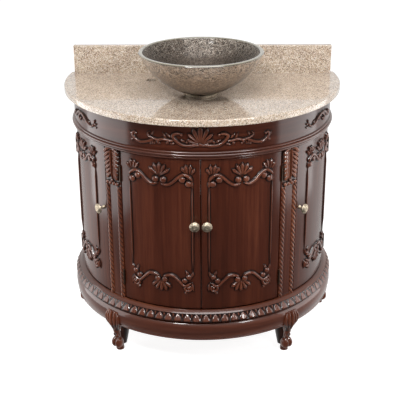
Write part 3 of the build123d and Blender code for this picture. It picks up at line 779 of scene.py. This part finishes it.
# Frieze board under the stone, and the reeded moulding at its foot, three
# rounded reeds wide. Both are bent from the same lacquered cherry.
_, (_, frieze_face), (frieze_low, frieze_high) = span_of("frieze_board")
_, (_, waist_face), (waist_low, waist_high) = span_of("waist_moulding")
board = turned([(MOULDING_BACK, frieze_low), (frieze_face, frieze_low), (frieze_face, frieze_high - 0.0085),
                (frieze_face - 0.0008, frieze_high - 0.0075), (frieze_face - 0.0008, frieze_high),
                (MOULDING_BACK, frieze_high)])
finished("frieze_board", board, cherry_flat, "round")
reeds = [(frieze_face - 0.001, waist_low)]
for low, high, proud in ((0.0, 0.33, 0.6), (0.33, 0.68, 1.0), (0.68, 1.0, 0.62)):
    for k in range(9):
        turn = math.radians(-80 + 160 * k / 8)
        tall = waist_high - waist_low
        reeds.append((frieze_face + (waist_face - frieze_face) * (proud - 0.42 + 0.42 * math.cos(turn)),
                      waist_low + tall * ((low + high) / 2 + (high - low) / 2 * 0.96 * math.sin(turn))))
reeds.append((frieze_face - 0.001, waist_high))
finished("waist_moulding", turned(reeds), cherry_moulded, "round")


# Frieze carvings: a shell between C-scrolls and leafy stems at the front, and
# a bud with a long S-scroll over each side door, sawn out, carved and glued
# to the board.
def scroll(work, x, z, size, start, turns, width, height):
    """A rolled end: a strand that winds in round (x, z) from the given angle."""
    points = []
    for k in range(9):
        t = k / 8
        turn = math.radians(start) + turns * 2 * math.pi * t
        points.append((x + size * (1 - 0.72 * t) * math.cos(turn), z + size * (1 - 0.72 * t) * math.sin(turn)))
    carved(work, points, width, height, "tail", steps=20, across=6)


def drawing(base, unit, side):
    """Two functions that put what is drawn (across, up) on the board: one for points, one for details."""
    def line(*points):
        return [(side * across, base + up * unit) for across, up in points]

    def details(*drawn):
        return [(kind, side * across, base + up * unit, side * turn, *sizes)
                for kind, across, up, turn, *sizes in drawn]

    return line, details


def frieze_centre(work, base, tall):
    """Everything is drawn from the middle of the shell's foot; tall is the shell's height."""
    unit = tall / 61
    for turn, length, width in ((0, 50, 20), (24, 50, 15), (-24, 50, 15), (47, 45, 13), (-47, 45, 13),
                                (70, 36, 11), (-70, 36, 11)):
        lean = math.radians(turn)
        start = (6 * math.sin(lean), base + 9 * unit + 4 * math.cos(lean))
        carved(work, [start, (start[0] + 0.5 * length * math.sin(lean), start[1] + 0.5 * length * math.cos(lean)),
                      (start[0] + length * math.sin(lean), start[1] + length * math.cos(lean))],
               width, 7, "petal", groove=0.38, lift=0.4, steps=12)
    found = [(BERRY, 0, base + 7 * unit, 0, 7, 6.5, 6)]
    for s in (-1, 1):
        line, details = drawing(base, unit, s)
        carved(work, line((4, 3), (16, 5), (26, 10)), 9, 5)
        scroll(work, s * 24, base + 12 * unit, 8, 90 - s * 90, -s * 0.9, 6, 5.5)
        carved(work, line((14, 3), (33, 2), (53, 4), (70, 17), (81, 33), (84, 45), (71, 54), (57, 50)), 11, 7.5,
               groove=0.15, steps=26)
        carved(work, line((82, 22), (94, 21), (110, 26), (124, 24), (131, 16), (129, 7)), 10, 6.5, steps=20)
        carved(work, line((118, 22), (134, 22), (150, 28), (162, 36), (164, 47), (157, 53)), 10.5, 7, "tail",
               groove=0.15, steps=18)
        carved(work, line((143, 26), (156, 15), (172, 7), (190, 4), (206, 12), (215, 26), (215, 40), (207, 44)),
               10.5, 7.5, groove=0.15, steps=28)
        found += details(
            (BERRY, 57, 49, 0, 4.6, 6.5, 4.6), (BERRY, 41, 17, 0, 4.4, 5.5, 4.4), (LEAF, 47, 17, 62, 9, 5, 17),
            (BERRY, 101, 11, 0, 5, 5.5, 5), (LEAF, 78, 10, 100, 9, 4.5, 17), (LEAF, 92, 33, 42, 8, 5, 20),
            (LEAF, 106, 29, 28, 8, 5, 20), (BERRY, 127, 7, 0, 4, 5.5, 4), (PETAL, 138, 19, 152, 7, 5, 15),
            (PETAL, 147, 21, 166, 7, 5, 16), (PETAL, 157, 16, 186, 7, 5, 13), (BERRY, 206, 37, 0, 4.6, 6, 4.6),
            (LEAF, 216, 22, 38, 8, 5, 20), (BERRY, 218, 10, 0, 5.2, 5.5, 5.2), (LEAF, 152, 40, -30, 7, 4, 14))
    scattered(work, found)


def frieze_side(work, base, tall, s):
    """Runs from the bud at the front, at 0, towards the wall; s is the way along the face."""
    line, details = drawing(base, tall / 34, s)
    carved(work, line((-72, 12), (-52, 6), (-30, 12), (-8, 24), (16, 28), (36, 18), (34, 7), (22, 9)), 10, 7,
           groove=0.15, steps=30)
    carved(work, line((8, 26), (34, 29), (58, 20), (76, 10), (86, 16), (80, 25)), 9.5, 7, groove=0.15, steps=24)
    scattered(work, details(
        (PETAL, -70, 12, -60, 10, 6, 17), (PETAL, -70, 14, -20, 10, 6, 18), (PETAL, -71, 10, -105, 9, 5, 14),
        (BERRY, -68, 12, 0, 5.5, 6.5, 5.5), (LEAF, -44, 8, 30, 8, 5, 17), (LEAF, -26, 15, 130, 8, 5, 15),
        (LEAF, -8, 20, 140, 8, 5, 16), (BERRY, 24, 12, 0, 5, 6, 5), (LEAF, 50, 22, 30, 7, 5, 12),
        (LEAF, 60, 18, 140, 8, 5, 15), (BERRY, 80, 19, 0, 4.5, 6, 4.5)))


for part in ("centre", "left", "right"):
    node = "frieze_carving_" + part
    (first, last), _, (low, high) = span_of(node)
    work = bmesh.new()
    if part == "centre":
        frieze_centre(work, low * 1000, (high - low) * 1000)
    else:
        frieze_side(work, low * 1000, (high - low) * 1000, -1 if part == "left" else 1)
    finished(node, wrapped(work, frieze_face, (first + last) / 2), cherry_carved, "round")


# Doors: four curved boards in lacquered cherry, hung on two hinges each, with
# a garland at the head, another at the foot and a pair of upright beads
# between them. Each has a cast brass knob and a catch plate.
def garlands(work, half, head, foot):
    """Carving on a door: beads at -half and half, and between them one garland at the head and one at the foot."""
    details = []
    small = min(1.0, half / 88)
    for x in (-half, half):
        carved(work, [(x, foot + 12), (x, (foot + head) / 2), (x, head - 30)], 6.0, 5, steps=6)
    for side in (-1, 1):
        edge = side * half

        def inward(distance):
            return edge - side * distance * small

        def line(level, *points):
            return [(inward(distance), level + up) for distance, up in points]

        def set_on(level, *drawn):
            return [(kind, inward(distance), level + up, side * turn, *sizes)
                    for kind, distance, up, turn, *sizes in drawn]

        carved(work, line(head, (-1, -30), (7, -18), (24, -9), (42, -18), (62, -37), (80, -46))
               + [(side * 5, head - 42)], 11.5, 9, groove=0.1, steps=26)
        carved(work, line(foot, (4, -14), (26, -26), (46, -8), (64, 8), (80, 9)) + [(side * 6, foot + 2)], 11.5, 9,
               groove=0.1, steps=26)
        scroll(work, inward(14), foot - 33, 14, 90 + side * 60, side * 1.1, 13, 9)
        details += set_on(
            head, (PETAL, 20, -4, -34, 14, 9, 21), (PETAL, 14, -6, -12, 14, 9, 27), (PETAL, 8, -6, 8, 14, 9, 27),
            (PETAL, 3, -8, 30, 13, 9, 21), (BERRY, 11, -40, 0, 11.5, 9, 11), (BERRY, 31, -26, 0, 11.5, 9, 11),
            (LEAF, 1, -30, 176, 11, 7, 24))
        details += [(BERRY, side * 13, head - 30, 0, 11.5, 9, 11)]
        details += set_on(
            foot, (BERRY, 13, 6, 0, 10, 9, 9.5), (BERRY, 27, -8, 0, 10, 9, 9.5), (LEAF, 16, 12, -24, 11, 7, 17),
            (LEAF, 5, 6, 16, 11, 7, 20), (LEAF, 2, -18, 172, 11, 8, 28), (PETAL, 20, -42, 196, 12, 8, 14))
        details += [(BERRY, side * 12, foot - 8, 0, 10.5, 9, 10), (BERRY, inward(14), foot - 33, 0, 6.5, 9, 6.5)]
    for turn, length, width in ((0, 34, 15), (-25, 34, 14.5), (25, 34, 14.5), (-52, 32, 14), (52, 32, 14)):
        lean = math.radians(turn)
        details.append((PETAL, 8 * math.sin(lean), head - 18 + 6 * math.cos(lean), turn, width, 9, length))
        details.append((PETAL, 8 * math.sin(lean), foot - 10 - 6 * math.cos(lean), 180 - turn, width, 9, length))
    scattered(work, details)


def metal(name, colour, tarnish, rough, metallic=1.0):
    """Metal with a darker tarnish that lies in patches."""
    material, cast = new_material(name)
    place = cast.node("ShaderNodeTexCoord", output="Object")
    patches, fine = mottle(cast, place, 260.0, 4.0, 0.6), mottle(cast, place, 1500.0, 2.0)
    tint = cast.node("ShaderNodeValToRGB", {"stops": [(0.35, tarnish), (0.62, colour)]}, {0: patches})
    bump = cast.node("ShaderNodeBump", {}, {"Strength": 0.25, "Distance": 0.0003, "Height": patches + fine * 0.4})
    surfaced(cast, {"Base Color": tint, "Metallic": metallic, "Roughness": rough + patches * 0.15, "Normal": bump})
    return material


aged_brass = metal("aged_brass", (0.78, 0.67, 0.52), (0.34, 0.28, 0.20), 0.48)
bronzed = metal("bronzed_steel", (0.16, 0.10, 0.07), (0.07, 0.045, 0.032), 0.4)
plate_steel = metal("catch_plate_steel", (0.56, 0.56, 0.57), (0.38, 0.38, 0.40), 0.3)
catch_plastic = metal("catch_plastic", (0.12, 0.07, 0.04), (0.09, 0.05, 0.03), 0.5, metallic=0.0)


def knob(node, around=36):
    """A turned knob with nine faint petals round its brim, standing on the face of a door."""
    (first, last), (_, outer), (bottom, top) = span_of(node)
    direction = (first + last) / 2
    radius, reach = (top - bottom) / 2, outer - FACE - 0.0003
    seat = on_plan(FACE, direction, (bottom + top) / 2)
    outward = on_plan(1, direction, 0) - on_plan(0, direction, 0)
    sideways = outward.cross(Vector((0, 0, 1)))
    work = bmesh.new()
    rings = []
    for wide, out in ((0.42, 0.0), (0.42, 0.06), (0.34, 0.11), (0.27, 0.2), (0.26, 0.38), (0.34, 0.5), (0.7, 0.6),
                      (0.95, 0.68), (1.0, 0.755), (0.95, 0.82), (0.86, 0.86), (0.8, 0.855), (0.7, 0.91),
                      (0.45, 0.975), (0.28, 0.985), (0.2, 0.96)):
        ring = []
        for i in range(around):
            turn = 2 * math.pi * i / around
            petals = 0.012 * math.cos(9 * turn) if 0.6 < out < 0.95 else 0.0
            ring.append(work.verts.new(seat + outward * (reach * (out + petals))
                                       + (sideways * math.cos(turn) + Vector((0, 0, math.sin(turn))))
                                       * (radius * (wide - max(0, petals)))))
        rings.append(ring)
    domed(work, rings, work.verts.new(seat + outward * reach))
    bmesh.ops.recalc_face_normals(work, faces=work.faces)
    return work


for part in ("side_left", "centre_left", "centre_right", "side_right"):
    body = part + "_door"
    node = "door_" + part
    (first, last), (inner, _), (low, high) = span_of(node)
    board = turned([(inner, low), (FACE, low), (FACE, high), (inner, high)], first, last, 48)
    finished(node, board, cherry_flat, body=body, bevel=0.0016)
    node = "door_carving_" + part
    (first, last), _, (low, high) = span_of(node)
    half = (last - first) * FACE * 1000 / 2
    work = bmesh.new()
    garlands(work, half - 2.7, high * 1000 - 31, low * 1000 + 57)
    finished(node, wrapped(work, FACE, (first + last) / 2), cherry_carved, body=body)
    node = "knob_" + part
    finished(node, knob(node), aged_brass, body=body, name=node + "_brass")
    dressed("hinge_leaves_" + part, bronzed)
    dressed("strike_" + part, plate_steel)
for form in (berry_form, petal_form, leaf_form):
    bpy.data.objects.remove(form)
for node in ("hinge_plates", "hinge_pins"):
    dressed(node, bronzed)
dressed("door_catches", catch_plastic)


# Stone top and backsplash: polished speckled granite, 22 mm thick with eased
# edges, drilled for the tap and the waste and bedded on the frame in silicone.
def granite():
    material, stone = new_material("granite")
    place = stone.node("ShaderNodeTexCoord", output="Object")

    def grains(scale, stops):
        cells = stone.node("ShaderNodeTexVoronoi", {}, {"Vector": place, "Scale": scale, "Randomness": 1.0}, "Color")
        pick = stone.node("ShaderNodeSeparateXYZ", {}, {0: cells}, "X")
        return pick, stone.node("ShaderNodeValToRGB", {"stops": stops}, {0: pick})

    _, ground = grains(330.0, [(0.0, (0.31, 0.235, 0.17)), (0.35, (0.50, 0.415, 0.32)), (0.7, (0.61, 0.53, 0.44)),
                               (1.0, (0.40, 0.27, 0.19))])
    specks, spots = grains(520.0, [(0.0, (0.09, 0.065, 0.05)), (0.5, (0.27, 0.19, 0.135)), (1.0, (0.88, 0.84, 0.78))])
    clouds = mottle(stone, place, 24.0, 5.0, 0.6)
    dark = stone.node("ShaderNodeMath", {"operation": "LESS_THAN"}, {0: specks + clouds * 0.35, 1: 0.36})
    light = stone.node("ShaderNodeMath", {"operation": "GREATER_THAN"}, {0: specks, 1: 0.86})
    colour = mixed(stone, (dark + light) * 0.8, ground, spots)
    tint = stone.node("ShaderNodeValToRGB", {"stops": [(0.3, (0.86, 0.82, 0.80)), (0.7, (1.0, 0.98, 0.95))]},
        {0: clouds})
    surfaced(stone, {"Base Color": mixed(stone, 1.0, colour, tint, "MULTIPLY"),
                     "Roughness": 0.16 + specks * 0.08, "Coat Weight": 1.0, "Coat Roughness": 0.02})
    return material


granite_stone = granite()
top_radius, top_under, top_level = top_high.x, top_low.z, top_high.z
eased = 0.004
DRAIN_HOLE = 0.0225
HOLE_AROUND = 40
levels = [(-0.012, 0.0), (-eased, 0.0)]
for turn in range(15, 91, 15):
    levels.append((-eased + eased * math.sin(math.radians(turn)), eased - eased * math.cos(math.radians(turn))))
edge_rows = [(reach, top_under + up) for reach, up in levels]
edge_rows += [(reach, top_level - up) for reach, up in levels[::-1]]
tap_bore = frame["record"]["mounts"][0]
drain_low, drain_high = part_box("drain_body")
holes = ((tap_bore["pos_m"][:2], tap_bore["dims"]["r_mm"] / 1000),
         ((0.0, (drain_low.y + drain_high.y) / 2), DRAIN_HOLE))


def half_round(inset, z, steps=150):
    """The outline of the top at one level: the front curve, then the flat back."""
    radius = top_radius + inset
    limit = wall_angle(radius)
    curve = [on_plan(radius, -limit + 2 * limit * k / steps, z) for k in range(steps + 1)]
    back = [curve[-1].lerp(curve[0], k / 24) for k in range(1, 24)]
    return curve + back


work = bmesh.new()
loops = [[work.verts.new(p) for p in half_round(inset, z)] for inset, z in edge_rows]
sewn(work, loops)
turns = [2 * math.pi * i / HOLE_AROUND for i in range(HOLE_AROUND)]
hole_rows = []
for z, loop in ((top_under, loops[0]), (top_level, loops[-1])):
    edges = [work.edges.get((loop[i], loop[(i + 1) % len(loop)])) for i in range(len(loop))]
    rims = []
    for (x, y), radius in holes:
        rim = [work.verts.new((x + radius * math.cos(turn), y + radius * math.sin(turn), z)) for turn in turns]
        edges += [work.edges.new((rim[i], rim[(i + 1) % HOLE_AROUND])) for i in range(HOLE_AROUND)]
        rims.append(rim)
    bmesh.ops.triangle_fill(work, use_beauty=True, use_dissolve=False, edges=edges, normal=(0, 0, 1))
    hole_rows.append(rims)
for rims in zip(*hole_rows):
    sewn(work, rims)
bmesh.ops.recalc_face_normals(work, faces=work.faces)
finished("countertop", work, granite_stone, "straight", name="stone_top")

low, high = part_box("backsplash")
work = bmesh.new()
block = Matrix.Translation((low + high) / 2) @ Matrix.Diagonal((*(high - low), 1))
bmesh.ops.create_cube(work, size=1.0, matrix=block)
upper = [e for e in work.edges if all(v.co.z > high.z - 1e-4 for v in e.verts)]
upper += [e for e in work.edges if all(v.co.y < low.y + 1e-4 for v in e.verts)
          and abs(e.verts[0].co.x - e.verts[1].co.x) < 1e-6]
bmesh.ops.bevel(work, geom=list(set(upper)), offset=0.0025, segments=4, profile=0.5, affect="EDGES")
finished("backsplash", work, granite_stone, "straight", name="stone_backsplash", sharp=30)


# Waste under the bowl: flange, threaded body, gasket, nut and tailpiece in
# chromed brass, a seat ring under the bowl, and a stopper that rises 8 mm.
chrome = metal("chrome", (0.83, 0.83, 0.84), (0.74, 0.74, 0.76), 0.06)
rubber = metal("gasket_rubber", (0.055, 0.055, 0.055), (0.035, 0.035, 0.035), 0.6, metallic=0.0)
dressed("mounting_ring", aged_brass)
for node in ("drain_body", "drain_nut", "drain_tailpiece", "popup_stopper"):
    dressed(node, chrome)
dressed("drain_gasket", rubber)


# Vessel bowl: clear glass 12 mm thick, backed with brown-grey metal foil that
# has crackled all over, with a band of clear glass at the rim. It stands on
# the seat ring and is held by the waste.
def crackled_foil(name, colour, crack, rough, clear):
    material, foil = new_material(name)
    place = foil.node("ShaderNodeTexCoord", output="Object")
    warp = mottle(foil, place, 22.0, 3.0, output="Color")
    bent = mixed(foil, 0.06, place, warp)
    squeezed = foil.node("ShaderNodeMapping", {}, {
        "Vector": bent, "Scale": (1.0, 1.0, 1.7), "Rotation": (0.3, 0.5, 0.2)})

    def cracks(scale, width):
        gap = foil.node("ShaderNodeTexVoronoi", {"feature": "DISTANCE_TO_EDGE"},
            {"Vector": squeezed, "Scale": scale, "Randomness": 1.0})
        return foil.node("ShaderNodeMapRange", {}, {0: gap, 1: 0.0, 2: width, 3: 1.0, 4: 0.0})

    height = foil.node("ShaderNodeSeparateXYZ", {}, {0: place}, "Z")
    near_rim = foil.node("ShaderNodeMapRange", {}, {
        0: height, 1: bowl_high.z - 0.062, 2: bowl_high.z - 0.012, 3: 0.16, 4: 1.0})
    wide, narrow = cracks(34.0, 0.03), cracks(120.0, 0.07)
    creased = foil.node("ShaderNodeMapping", {}, {"Vector": place, "Scale": (1.0, 1.0, 0.3)})
    creases = mottle(foil, creased, 210.0, 4.0, 0.65)
    patches = mottle(foil, squeezed, 55.0, 5.0, 0.7)
    flakes = foil.node("ShaderNodeTexVoronoi", {}, {"Vector": squeezed, "Scale": 170.0, "Randomness": 1.0}, "Color")
    shard = foil.node("ShaderNodeSeparateXYZ", {}, {0: flakes}, "X")
    tone = patches * 0.4 + creases * 0.6 + (shard - 0.5) * near_rim * 0.6
    ground = foil.node("ShaderNodeValToRGB", {"stops": [
        (0.34, tuple(0.4 * c for c in colour)), (0.5, colour), (0.68, tuple(1.7 * c for c in colour))]}, {0: tone})
    lines = foil.node("ShaderNodeMath", {"operation": "MAXIMUM"}, {0: wide * 0.7, 1: narrow}) * near_rim
    colours = mixed(foil, lines * patches * 1.9, ground, (*crack, 1))
    bump = foil.node("ShaderNodeBump", {}, {"Strength": 0.5, "Distance": 0.0008, "Height": tone + lines})
    surfaced(foil, {"Base Color": colours, "Metallic": 0.75, "Roughness": rough + patches * 0.25,
                    "Coat Weight": clear, "Coat Roughness": 0.05, "Normal": bump})
    return material


def clear_rim():
    material, glass = new_material("rim_glass")
    place = glass.node("ShaderNodeTexCoord", output="Object")
    height = glass.node("ShaderNodeSeparateXYZ", {}, {0: place}, "Z")
    share = (height - (bowl_high.z - CLEAR_BAND)) / CLEAR_BAND
    wave = mottle(glass, place, 40.0, 2.0)
    # Painted highlight: the band stays dark glass low down and turns light at the top edge, a bright line where the
    # lip catches the light.
    tint = glass.node("ShaderNodeValToRGB", {"stops": [
        (0.0, (0.02, 0.02, 0.025)), (0.6, (0.02, 0.022, 0.03)), (0.8, (0.15, 0.135, 0.10)),
        (1.0, (0.24, 0.22, 0.17))]}, {0: share + (wave - 0.5) * 0.12})
    surfaced(glass, {"Base Color": tint, "Roughness": 0.08 + wave * 0.04, "Coat Weight": 1.0, "Coat Roughness": 0.03})
    return material


bowl_low, bowl_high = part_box("vessel_bowl")
GLASS, CLEAR_BAND, FOOT_RADIUS = 0.012, 0.010, 0.038
foil_outside = crackled_foil("foil_outside", (0.205, 0.150, 0.110), (0.75, 0.66, 0.56), 0.30, 0.9)
foil_inside = crackled_foil("foil_inside", (0.058, 0.043, 0.033), (0.62, 0.55, 0.47), 0.42, 0.12)
rim_glass = clear_rim()
centre = (bowl_low + bowl_high) / 2
rim_radius, tall = (bowl_high.x - bowl_low.x) / 2, bowl_high.z - bowl_low.z
rise = (rim_radius ** 2 + tall ** 2 - FOOT_RADIUS ** 2) / (2 * tall)
ball_radius = math.hypot(FOOT_RADIUS, rise)
inner_radius = ball_radius - GLASS


def arc(radius, start, end, steps):
    """Points (out, up) on a circle about the middle of the ball, without the first; angles are from straight down."""
    turns = [start + (end - start) * k / steps for k in range(1, steps + 1)]
    return [(radius * math.sin(turn), rise - radius * math.cos(turn)) for turn in turns]


start, end = math.asin(FOOT_RADIUS / ball_radius), math.asin(min(1.0, rim_radius / ball_radius))
if rise < tall:
    end = math.pi - end
profile = [(DRAIN_HOLE, 0.0), (FOOT_RADIUS, 0.0)] + arc(ball_radius, start, end, 40)
outside_rows = len(profile) - 1
lip = math.sqrt(max(0.0, inner_radius ** 2 - (tall - rise) ** 2))
profile[-1] = (rim_radius, tall - 0.003)
profile += [(rim_radius - 0.0012, tall - 0.0008), (rim_radius - 0.003, tall), (lip + 0.003, tall),
            (lip + 0.0012, tall - 0.0008), (lip, tall - 0.003)]
rim_rows = len(profile) - 1
inner_end = math.acos(max(-1.0, min(1.0, (rise - tall + 0.003) / inner_radius)))
inner_start = math.acos(min(1.0, (rise - GLASS) / inner_radius))
profile += arc(inner_radius, inner_end, inner_start, 36) + [(DRAIN_HOLE, GLASS)]
work = bmesh.new()
turns = [2 * math.pi * i / 120 for i in range(120)]
rings = [[work.verts.new((centre.x + radius * math.cos(turn), centre.y + radius * math.sin(turn), bowl_low.z + up))
          for turn in turns] for radius, up in profile]
for k, ring in enumerate(rings):
    for face in sewn(work, (ring, rings[(k + 1) % len(rings)])):
        face.material_index = 1 if outside_rows - 1 <= k < rim_rows else 2 if k >= rim_rows else 0
bmesh.ops.recalc_face_normals(work, faces=work.faces)
mesh = bpy.data.meshes.new("bowl_glass")
work.to_mesh(mesh)
work.free()
kinds = [p.material_index for p in mesh.polygons]
bowl = finished("vessel_bowl", mesh, foil_outside, name="bowl_glass", sharp=40)
bowl.data.materials.append(rim_glass)
bowl.data.materials.append(foil_inside)
bowl.data.polygons.foreach_set("material_index", kinds)
